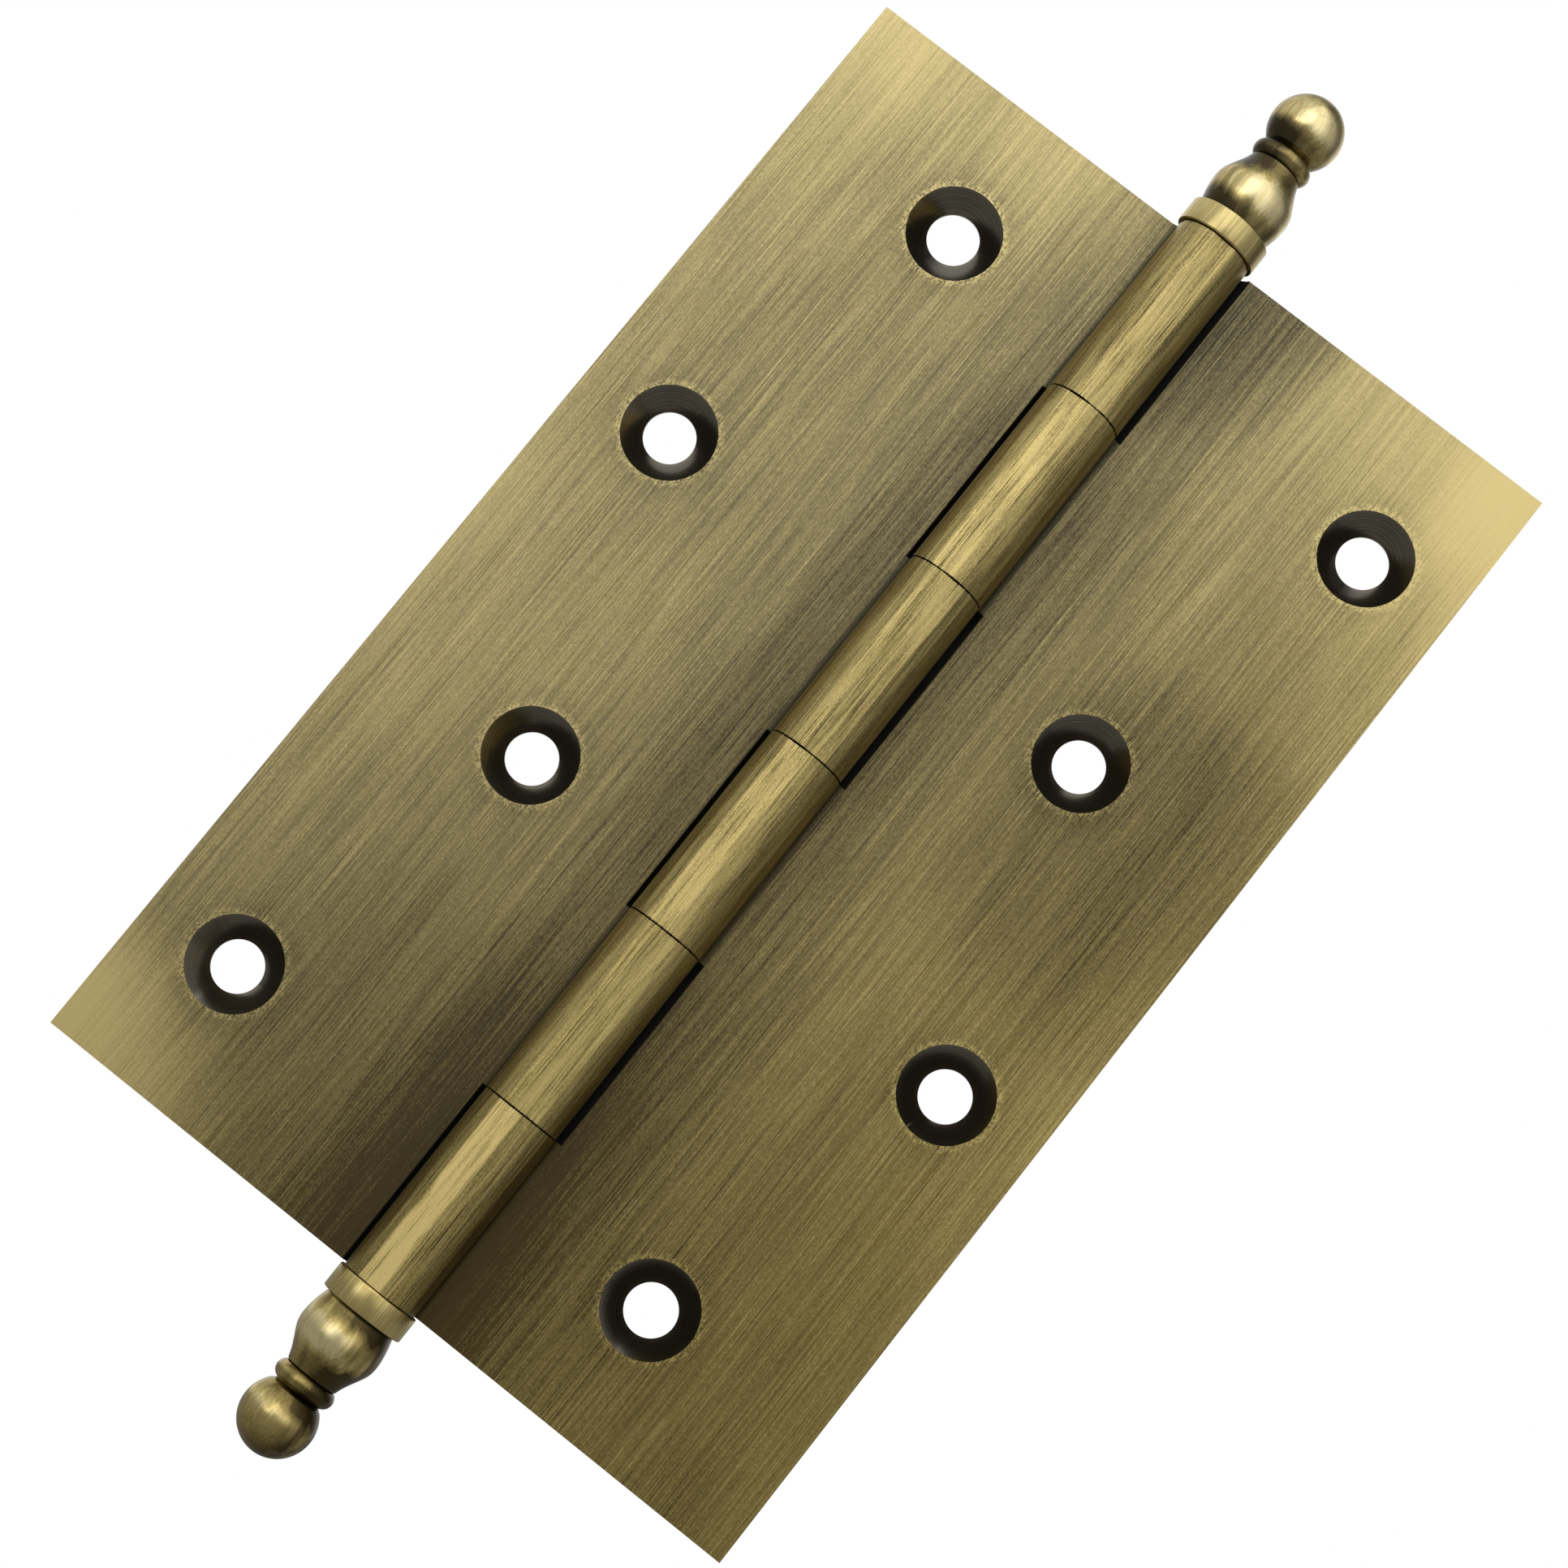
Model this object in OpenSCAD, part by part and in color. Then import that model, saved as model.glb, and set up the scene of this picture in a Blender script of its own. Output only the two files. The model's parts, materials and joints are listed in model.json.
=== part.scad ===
// Ball-tip butt hinge in solid brass, shown lying open flat.
//
// The pin stands along Z through the origin, which is the middle of the barrel.
// The frame leaf lies towards -X and the door leaf towards +X.  The barrel and the
// countersinks face -Y, and the flat backs that go against the woodwork face +Y.
// Turned half a turn about Y, either leaf becomes the other.

/* [Leaves] */
// Length of each leaf, and so of the barrel
leaf_len = 127; // [100:1:160]
// Width over both leaves when the hinge lies open
open_w = 80; // [66:1:110]
// Thickness of a leaf
leaf_t = 2.5; // [2:0.1:3]

/* [Barrel] */
// Diameter of the knuckles
barrel_d = 8.1; // [7.8:0.1:12]
// How far the barrel stands proud of the leaves' flat backs
barrel_proud = 0.05; // [0.03:0.01:0.3]
// Number of knuckles, which belong to the two leaves in turn
knuckles = 6; // [4, 6, 8]
// How much shorter than the others each end knuckle is
end_trim = 0.7; // [0:0.1:2]
// Gap between one knuckle and the next
knuckle_gap = 0.1; // [0.05:0.05:0.5]
// Clearance round a knuckle in the hollow cut for it in the other leaf
hollow_clear = 0.8; // [0.5:0.1:1.5]
// Radius of the fillet where a knuckle runs into its own leaf
root_fillet = 0.8; // [0.4:0.1:1]
// How far the leaves fold back past lying flat, in degrees
back_swing = 65; // [0:5:90]

/* [Pin] */
// Diameter of the pin
pin_d = 5; // [4:0.1:6]
// Radial clearance of the pin in the knuckles
pin_clear = 0.05; // [0.02:0.01:0.1]
// Gap that each finial's collar keeps from the barrel, so that nothing binds
end_play = 0.1; // [0.05:0.05:0.3]

/* [Screw holes] */
// Number of screws in each leaf
screws = 4; // [2:1:6]
// Diameter of a screw hole
screw_d = 5.2; // [4:0.1:6]
// Diameter of a countersink at the leaf's face
sink_d = 9.5; // [8:0.1:10]
// Angle of a countersink from side to side
sink_angle = 90; // [90:1:100]
// First screw's distance from the leaf's end, on the inner row
first_screw = 14; // [10:0.1:20]
// Last screw's distance from the leaf's other end, on the outer row
last_screw = 14.9; // [10:0.1:20]
// Outer row's distance from the leaf's long edge
row_edge = 10; // [7:0.1:14]
// Distance between the outer and the inner row
row_stagger = 9.3; // [0:0.1:12]

/* [Finials] */
// How far the collar stands out round the barrel
collar_step = 0.35; // [0.1:0.05:1]
// Height of the collar's top above the barrel's end
collar_h = 2.7; // [1.5:0.1:5]
// Bevel of the collar's edges
collar_bevel = 0.15; // [0.05:0.05:0.4]
// Radius of the vase's foot, on the collar
foot_r = 3.8; // [3:0.1:4.2]
// Height of the foot
foot_h = 1.5; // [0.8:0.1:2.5]
// Greatest radius of the vase
vase_r = 4.3; // [3.9:0.1:5]
// Radius of the vase's shoulder, seen from the side
shoulder_r = 3; // [2:0.1:3.5]
// Slope of the vase above its shoulder, from upright
vase_slope = 24; // [15:1:32]
// Radius of the neck below the bead
neck_r = 2.8; // [2.2:0.1:3]
// Greatest radius of the bead
bead_r = 3.2; // [3:0.1:3.6]
// Thickness of the bead
bead_t = 2; // [1.2:0.1:2.4]
// Height of the groove between the bead and the ball
groove_t = 0.3; // [0.1:0.05:0.6]
// Radius of the ball
ball_r = 3.8; // [3.3:0.1:4.5]
// Diameter of the threaded stud that screws into the pin
stud_d = 3; // [2.5:0.1:3.4]
// Length of the stud
stud_len = 8; // [5:0.5:12]
// Radial clearance that stands for the thread
thread_clear = 0.05; // [0.02:0.01:0.1]
// Depth of the tapped hole past the stud's tip
tap_run = 2; // [1:0.5:4]

/* [Hidden] */

BRASS = [0.66, 0.55, 0.33];
PALE_BRASS = [0.74, 0.63, 0.39];
STEEL = [0.62, 0.63, 0.64];
$fn = 96;
eps = 0.02;             // laps one shape over the next, so that no faces only touch
run_out = 1;            // how far a cut runs on past the metal

barrel_r = barrel_d / 2;
bore_r = pin_d / 2 + pin_clear;
pitch = (leaf_len + 2 * end_trim) / knuckles;

back_y = barrel_r - barrel_proud;   // flat back of the leaves
front_y = back_y - leaf_t;          // countersunk face; the closed leaves stand twice this apart

// A hollow clears the knuckle, and is wide enough at the back for the leaves to fold back
swing_spare = 1.5;                  // spare angle on each leaf at the end of the fold
hollow_r = max(barrel_r + hollow_clear, back_y / cos(back_swing / 2 + swing_spare));

sink_depth = (sink_d - screw_d) / 2 / tan(sink_angle / 2);
outer_row = open_w / 2 - row_edge;
inner_row = outer_row - row_stagger;
screw_pitch = (leaf_len - first_screw - last_screw) / (screws - 1);

// Ends of knuckle k, counted from 0 at the top of the barrel
function knuckle_top(k) = min(leaf_len / 2, (knuckles / 2 - k) * pitch - knuckle_gap / 2);
function knuckle_foot(k) = max(-leaf_len / 2, (knuckles / 2 - k - 1) * pitch + knuckle_gap / 2);

// Ends of the hollow for the other leaf's knuckle k, run out past the leaf's end where it is the last
function hollow_top(k) = (knuckles / 2 - k) * pitch + knuckle_gap / 2;
function hollow_foot(k) = (knuckles / 2 - k - 1) * pitch - knuckle_gap / 2;

// Points of an arc in a finial's half outline, from angle a0 to a1
function arc(centre, r, a0, a1, steps) =
    [for (i = [0 : steps]) centre + r * [cos(a0 + (a1 - a0) * i / steps), sin(a0 + (a1 - a0) * i / steps)]];

// ---------------------------------------------------------------- leaves

// The hollow corner between a knuckle and the front of its own leaf.  The fillet's circle is
// sunk a hair into both, so that it crosses them and doesn't just touch.
module root_fillet_outline() {
    y = front_y - root_fillet + eps;
    x = sqrt(pow(barrel_r + root_fillet - eps, 2) - y * y);
    difference() {
        polygon([[-x, y], [-x, front_y + 4 * eps], [0, front_y + 4 * eps], [0, y]]);
        translate([-x, y]) circle(r = root_fillet);
    }
}

// One knuckle with the root that joins it to the leaf, still without its bore
module knuckle(k) {
    length = knuckle_top(k) - knuckle_foot(k);
    translate([0, 0, knuckle_foot(k)]) {
        cylinder(r = barrel_r, h = length);
        linear_extrude(length) root_fillet_outline();
    }
}

// Round hollow that lets the other leaf's knuckle k turn
module hollow(k) {
    translate([0, 0, hollow_foot(k)])
        cylinder(r = hollow_r, h = hollow_top(k) - hollow_foot(k));
}

// Countersunk screw hole through a leaf, its mouth at the front
module screw_hole() {
    rise = tan(sink_angle / 2);
    translate([0, front_y, 0]) rotate([-90, 0, 0]) {
        translate([0, 0, -run_out])
            cylinder(d1 = sink_d + 2 * run_out * rise, d2 = screw_d, h = sink_depth + run_out);
        cylinder(d = screw_d, h = leaf_t + run_out);
    }
}

// Screw holes in a zigzag down the frame leaf, the top one on the inner row
module screw_holes() {
    for (i = [0 : screws - 1])
        translate([-(i % 2 == 0 ? inner_row : outer_row), 0, leaf_len / 2 - first_screw - i * screw_pitch])
            screw_hole();
}

// Leaf with every second knuckle from the top, lying towards -X
module leaf() {
    difference() {
        union() {
            translate([-open_w / 2, front_y, -leaf_len / 2]) cube([open_w / 2, leaf_t, leaf_len]);
            for (k = [0 : 2 : knuckles - 1]) knuckle(k);
        }
        for (k = [1 : 2 : knuckles - 1]) hollow(k);
        translate([0, 0, -leaf_len / 2 - run_out]) cylinder(r = bore_r, h = leaf_len + 2 * run_out);
        screw_holes();
    }
}

module frame_leaf() {
    color(BRASS) leaf();
}

module door_leaf() {
    color(BRASS) rotate([0, 180, 0]) leaf();
}

// ---------------------------------------------------------------- pin and finials

// Steel rod, a little longer than the barrel, with a tapped hole in each end
module hinge_pin() {
    half = leaf_len / 2 + end_play;
    tap_r = stud_d / 2 + thread_clear;
    bevel = 0.3;
    tap_foot = half - stud_len - tap_run;
    outline = [
        [0, -tap_foot + tap_r], [tap_r, -tap_foot], [tap_r, -half],
        [pin_d / 2 - bevel, -half], [pin_d / 2, -half + bevel],
        [pin_d / 2, half - bevel], [pin_d / 2 - bevel, half],
        [tap_r, half], [tap_r, tap_foot], [0, tap_foot - tap_r]
    ];
    color(STEEL) rotate_extrude() polygon(outline);
}

// Turned finial, standing up from the barrel's end at z = 0, with its stud hanging down
module finial() {
    collar_r = barrel_r + collar_step;
    shoulder_z = collar_h + foot_h + sqrt(pow(shoulder_r, 2) - pow(shoulder_r - (vase_r - foot_r), 2));
    shoulder = [vase_r - shoulder_r, shoulder_z];
    foot_angle = acos((foot_r - shoulder.x) / shoulder_r);
    slope_r = shoulder.x + shoulder_r * cos(vase_slope);
    neck_z = shoulder.y + shoulder_r * sin(vase_slope) + (slope_r - neck_r) / tan(vase_slope);
    bead = [bead_r - bead_t / 2, neck_z + bead_t / 2];
    groove_z = bead.y + bead_t / 2 + groove_t;
    ball_z = groove_z + sqrt(pow(ball_r, 2) - pow(neck_r, 2));
    stud_bevel = 0.4;
    stud_r = stud_d / 2;
    outline = concat(
        [[0, end_play - stud_len], [stud_r - stud_bevel, end_play - stud_len],
         [stud_r, end_play - stud_len + stud_bevel], [stud_r, end_play]],
        [[collar_r - collar_bevel, end_play], [collar_r, end_play + collar_bevel],
         [collar_r, collar_h - collar_bevel], [collar_r - collar_bevel, collar_h]],
        [[foot_r, collar_h]],
        arc(shoulder, shoulder_r, -foot_angle, vase_slope, 16),
        [[neck_r, neck_z]],
        arc(bead, bead_t / 2, -80, 80, 12),
        [[neck_r, groove_z]],
        arc([0, ball_z], ball_r, -acos(neck_r / ball_r) + 1, 90, 28)
    );
    rotate_extrude() polygon(outline);
}

module top_finial() {
    color(PALE_BRASS) translate([0, 0, leaf_len / 2]) finial();
}

module bottom_finial() {
    color(PALE_BRASS) rotate([180, 0, 0]) translate([0, 0, leaf_len / 2]) finial();
}

frame_leaf();
door_leaf();
hinge_pin();
top_finial();
bottom_finial();
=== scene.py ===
import json
import math
import bpy
import bmesh
from mathutils import Matrix, Vector


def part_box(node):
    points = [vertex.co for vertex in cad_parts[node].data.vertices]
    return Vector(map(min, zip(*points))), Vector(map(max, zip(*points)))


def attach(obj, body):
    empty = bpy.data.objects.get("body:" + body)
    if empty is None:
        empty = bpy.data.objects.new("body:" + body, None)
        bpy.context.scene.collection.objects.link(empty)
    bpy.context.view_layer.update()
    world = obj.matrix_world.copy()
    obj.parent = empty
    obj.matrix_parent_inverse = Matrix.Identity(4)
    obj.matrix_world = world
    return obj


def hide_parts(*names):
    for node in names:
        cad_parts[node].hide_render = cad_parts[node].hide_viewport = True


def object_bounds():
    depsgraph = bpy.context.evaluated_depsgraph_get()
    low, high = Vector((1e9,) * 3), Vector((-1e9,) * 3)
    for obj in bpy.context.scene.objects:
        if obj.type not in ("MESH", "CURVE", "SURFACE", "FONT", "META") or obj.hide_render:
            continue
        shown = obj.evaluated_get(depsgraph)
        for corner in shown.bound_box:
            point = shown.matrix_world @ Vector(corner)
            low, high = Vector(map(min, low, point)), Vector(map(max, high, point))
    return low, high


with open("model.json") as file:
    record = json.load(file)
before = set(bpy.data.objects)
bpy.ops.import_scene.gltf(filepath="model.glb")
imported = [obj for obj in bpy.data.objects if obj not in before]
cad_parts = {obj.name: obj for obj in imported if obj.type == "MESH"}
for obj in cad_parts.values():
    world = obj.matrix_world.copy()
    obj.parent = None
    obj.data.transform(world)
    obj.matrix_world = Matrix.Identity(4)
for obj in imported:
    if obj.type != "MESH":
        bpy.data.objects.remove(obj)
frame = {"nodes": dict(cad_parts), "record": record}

MM = 0.001
cad_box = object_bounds()

# ------------------------------------------------------------- sizes, the frame's own where it has them

mounts = {m["name"]: m for m in frame["record"]["mounts"]}
leaf_low, leaf_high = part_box("frame_leaf")
pin_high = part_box("hinge_pin")[1]
finial_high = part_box("top_finial")[1]

leaf_edge = -leaf_low.x                     # long edge of a leaf, from the pin's axis
leaf_half = leaf_high.z                     # half the leaf's length
barrel_r = leaf_high.x
back_y = mounts["frame_leaf_back"]["pos_m"][1]
plate_corners = [v.co for v in frame["nodes"]["frame_leaf"].data.vertices if v.co.x < -2 * barrel_r]
front_y = min(corner.y for corner in plate_corners)
leaf_t = back_y - front_y
pin_r = pin_high.x
collar_r = finial_high.y

KNUCKLES = 6
END_TRIM = 0.7 * MM                         # how much shorter each end knuckle is
KNUCKLE_GAP = 0.02 * MM                     # knuckles meet closely, so no light shows between them
PIN_CLEAR = 0.05 * MM
HOLLOW_CLEAR = 0.8 * MM                     # round a knuckle, in the other leaf
ROOT_FILLET = 0.8 * MM
SINK_D = 9.5 * MM
EDGE_ROUND = 0.16 * MM                      # worn rounding of the outer edges
INNER_ROUND = 0.4                           # what part of it the seams and countersinks have
WIDE_FLAT = (-8, 31)                        # the belt's widest flat on a knuckle, degrees from the front
FLATS = [-90, -62, -40, -24, *WIDE_FLAT, 47, 65, 85]    # where the flats meet
NARROW_DEPTH = 0.6                          # how deep the other flats are, next to the widest
SAME = 0.01 * MM                            # places closer than this are the same

bore_r = pin_r + PIN_CLEAR
hollow_r = barrel_r + HOLLOW_CLEAR
pitch = 2 * (leaf_half + END_TRIM) / KNUCKLES
inner_screws = mounts["frame_leaf_inner_screws"]
outer_screws = mounts["frame_leaf_outer_screws"]
screw_r = inner_screws["dims"]["hole_r_mm"] * MM
inner_row, outer_row = -inner_screws["pos_m"][0], -outer_screws["pos_m"][0]
screw_pitch = inner_screws["pos_m"][2] - outer_screws["pos_m"][2]
first_screw_z = inner_screws["pos_m"][2] + screw_pitch
SCREWS = 4
ROUND_STEPS = 96                            # sides of a turned piece


def knuckle_ends(k):
    """Foot and top of knuckle k, counted from 0 at the top of the barrel."""
    top = min(leaf_half, (KNUCKLES / 2 - k) * pitch - KNUCKLE_GAP / 2)
    foot = max(-leaf_half, (KNUCKLES / 2 - k - 1) * pitch + KNUCKLE_GAP / 2)
    return foot, top


# ------------------------------------------------------------------ node writing

class Level:
    """A value or colour that changes over a surface. Sums written with it become Math nodes."""

    def __init__(self, writer, socket):
        self.writer, self.socket = writer, socket

    def __add__(self, other):
        return self.writer.math("ADD", self, other)

    def __radd__(self, other):
        return self.writer.math("ADD", other, self)

    def __sub__(self, other):
        return self.writer.math("SUBTRACT", self, other)

    def __rsub__(self, other):
        return self.writer.math("SUBTRACT", other, self)

    def __mul__(self, other):
        return self.writer.math("MULTIPLY", self, other)

    def __rmul__(self, other):
        return self.writer.math("MULTIPLY", other, self)

    def __truediv__(self, other):
        return self.writer.math("DIVIDE", self, other)

    def __neg__(self):
        return self.writer.math("MULTIPLY", self, -1.0)

    def __abs__(self):
        return self.writer.math("ABSOLUTE", self)

    def least(self, other):
        return self.writer.math("MINIMUM", self, other)

    def most(self, other):
        return self.writer.math("MAXIMUM", self, other)

    def ramp(self, start, end, low=0.0, high=1.0, kind="SMOOTHSTEP"):
        """Goes smoothly from low, at start, to high, at end."""
        return self.writer.node("ShaderNodeMapRange", {"interpolation_type": kind},
                                {0: self, 1: start, 2: end, 3: low, 4: high})

    def ramp_straight(self, start, end, low=0.0, high=1.0):
        return self.ramp(start, end, low, high, "LINEAR")


class Writer:
    """Adds nodes to one tree."""

    def __init__(self, tree):
        self.tree = tree
        tree.nodes.clear()

    def node(self, kind, settings=None, sockets=None, out=0):
        made = self.tree.nodes.new(kind)
        for name, value in (settings or {}).items():
            setattr(made, name, value)
        for key, value in (sockets or {}).items():
            if isinstance(value, Level):
                self.tree.links.new(value.socket, made.inputs[key])
            else:
                made.inputs[key].default_value = value
        return Level(self, made.outputs[out]) if made.outputs else None

    def math(self, operation, *values):
        return self.node("ShaderNodeMath", {"operation": operation}, dict(enumerate(values)))

    def parts(self, vector):
        split = self.node("ShaderNodeSeparateXYZ", None, {0: vector}).socket.node
        return [Level(self, split.outputs[i]) for i in range(3)]

    def join(self, x, y, z):
        return self.node("ShaderNodeCombineXYZ", None, {0: x, 1: y, 2: z})


class Finish(Writer):
    """The nodes of a material."""

    def __init__(self, name):
        self.material = bpy.data.materials.new(name)
        self.material.use_nodes = True
        super().__init__(self.material.node_tree)

    def place(self):
        return self.node("ShaderNodeTexCoord", out="Object")

    def grain(self, vector, across, along, offset=(0, 0, 0), detail=2.0, roughness=0.5):
        """Noise with marks as wide as across and as long, in Z, as along."""
        scaled = self.node("ShaderNodeMapping", {"vector_type": "POINT"},
                           {0: vector, 1: offset, 3: (1 / across, 1 / across, 1 / along)})
        return self.node("ShaderNodeTexNoise", {"noise_dimensions": "3D"},
                         {"Vector": scaled, "Scale": 1.0, "Detail": detail, "Roughness": roughness})

    def blend(self, factor, a, b):
        return self.node("ShaderNodeMix", {"data_type": "RGBA"}, {0: factor, 6: a, 7: b}, out=2)

    def bump(self, height, distance, strength):
        return self.node("ShaderNodeBump", None,
                         {"Strength": strength, "Distance": distance, "Height": height})

    def surface(self, **sockets):
        named = {name.replace("_", " "): value for name, value in sockets.items()}
        self.end(self.node("ShaderNodeBsdfPrincipled", None, named))
        return self.material

    def end(self, shader):
        self.node("ShaderNodeOutputMaterial", None, {0: shader})


def rgb(r, g, b):
    return (r, g, b, 1.0)


# ------------------------------------------------------------------ finishes

PATINA_GREY = rgb(0.060, 0.054, 0.034)      # dark oxide left where the belt didn't reach
PATINA_BROWN = rgb(0.070, 0.050, 0.018)
AGED_GREY = rgb(0.240, 0.200, 0.098)
AGED_BROWN = rgb(0.258, 0.198, 0.066)
RUBBED_PALE = rgb(0.600, 0.490, 0.222)      # bare brass on edges and high places
RUBBED_WARM = rgb(0.610, 0.480, 0.185)
POLISHED = rgb(0.800, 0.690, 0.380)         # the finials' high places
# near black painted for the shade in the gaps round the knuckles and in the seams between them
GAP_SHADE_BLACK = rgb(0.010, 0.009, 0.007)
LACQUER, LACQUER_WORN = rgb(0.112, 0.102, 0.080), rgb(0.34, 0.30, 0.22)
STEEL_DARK, STEEL_LIGHT = rgb(0.45, 0.44, 0.43), rgb(0.6, 0.6, 0.59)

# grooves of a finial that keep patina: height above the barrel's end, dark half width, reach, mm
GROOVES = [(3.0, 0.3, 2.2), (9.4, 0.4, 2.6), (12.3, 0.3, 1.9)]


def brass_colour(f, tone, pale):
    """Brass from dark patina, at tone 0, to rubbed bright, at tone 1; browner where pale is low."""
    patina = f.blend(pale, PATINA_BROWN, PATINA_GREY)
    aged = f.blend(pale, AGED_BROWN, AGED_GREY)
    rubbed = f.blend(pale, RUBBED_WARM, RUBBED_PALE)
    colour = f.blend(tone.ramp_straight(0.0, 0.5), patina, aged)
    return f.blend(tone.ramp_straight(0.5, 1.0), colour, rubbed)


def patch(x, z, at_x, at_z, wide, high):
    """A soft patch, in mm: 1 at its middle, gone at its edge."""
    across = (x - at_x * MM) / (wide * MM)
    along = (z - at_z * MM) / (high * MM)
    return (across * across + along * along).ramp(0.0, 1.0, 1.0, 0.0)


def degrees_round(f, x, y):
    """Degrees round the pin's axis, 0 in front and growing towards +X."""
    return f.math("ARCTAN2", x, -y) * math.degrees(1.0)


def screw_distance(f, x, z, on_door):
    """How far from the nearest screw's axis; the door leaf is the frame leaf turned half round."""
    down = z * (1 - 2 * on_door) - first_screw_z + screw_pitch
    reach = []
    for row, start in ((inner_row, 0.0), (outer_row, screw_pitch)):
        side = abs(x) - row
        lift = f.math("FLOORED_MODULO", down + start, 2 * screw_pitch) - screw_pitch
        reach.append(f.math("SQRT", side * side + lift * lift))
    return reach[0].least(reach[1])


def leaf_wear_and_shade(x, z, ragged, low):
    """How light a leaf's face is made: 0 patina, 1 bare, with patina and painted shade beside the
    barrel. Ragged is x, uneven from brush line to line.
    """
    below_top = z.ramp(58 * MM, 28 * MM)
    patina_and_shade_by_barrel = abs(ragged).ramp(4 * MM, 17 * MM, 1.0, 0.0)
    wear_and_shade = 0.60 - below_top * 0.09 - low * 0.06 + abs(x).ramp(30 * MM, 40 * MM, 0.0, 0.10)
    wear_and_shade = wear_and_shade - x.ramp(0.0, 8 * MM) * z.ramp(-5 * MM, -35 * MM) * 0.10
    # painted shade beside the barrel, where it stands proud of the leaf, over darker patina there;
    # deeper towards the bottom
    wear_and_shade = wear_and_shade - patina_and_shade_by_barrel * (0.22 + below_top * 0.09 + low * 0.25)
    # bright: the top end, the door leaf's top corner, the frame leaf's low corner and middle
    wear_and_shade = wear_and_shade + z.ramp(48 * MM, 64 * MM) * ragged.ramp(2 * MM, 34 * MM, 0.15, 0.03)
    wear_and_shade = wear_and_shade + z.ramp(36 * MM, 64 * MM) * ragged.ramp(14 * MM, 40 * MM, 0.0, 0.38)
    wear_and_shade = wear_and_shade + patch(ragged, z, -42, -66, 24, 18) * 0.45
    wear_and_shade = wear_and_shade + patch(x, z, -32, -5, 18, 22) * 0.12
    # dark: patina and painted shade beside the barrel at the door leaf's top, a cloud on each leaf
    wear_and_shade = wear_and_shade - patch(ragged, z, 6, 68, 14, 25) * 0.38
    wear_and_shade = wear_and_shade - patch(ragged, z, 30, 12, 20, 26) * z.ramp(24 * MM, 32 * MM, 1.0, 0.15) * 0.24
    return wear_and_shade - patch(ragged, z, -14, -50, 24, 26) * 0.12


def knuckle_wear(f, place, turn, low, bands):
    """How rubbed a knuckle is: its widest flat is bright, and the rest keeps streaks of patina."""
    first, last = WIDE_FLAT
    flat = turn.ramp(first - 4, first + 3) * turn.ramp(last - 2, last + 1, 1.0, 0.0)
    marks = f.grain(place, 0.08 * MM, 5 * MM, (2.2, 0, 6.1), 3.0, 0.7)
    worn = f.grain(place, 0.7 * MM, 8 * MM, (8.8, 0, 2.1), 2.0)
    scratches = marks.ramp(0.42, 0.64) * worn.ramp(0.38, 0.58)
    return 0.74 - low * 0.12 + flat * (0.06 + low * 0.30) + (bands - 0.5) * 0.34 - scratches * 0.44


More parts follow.
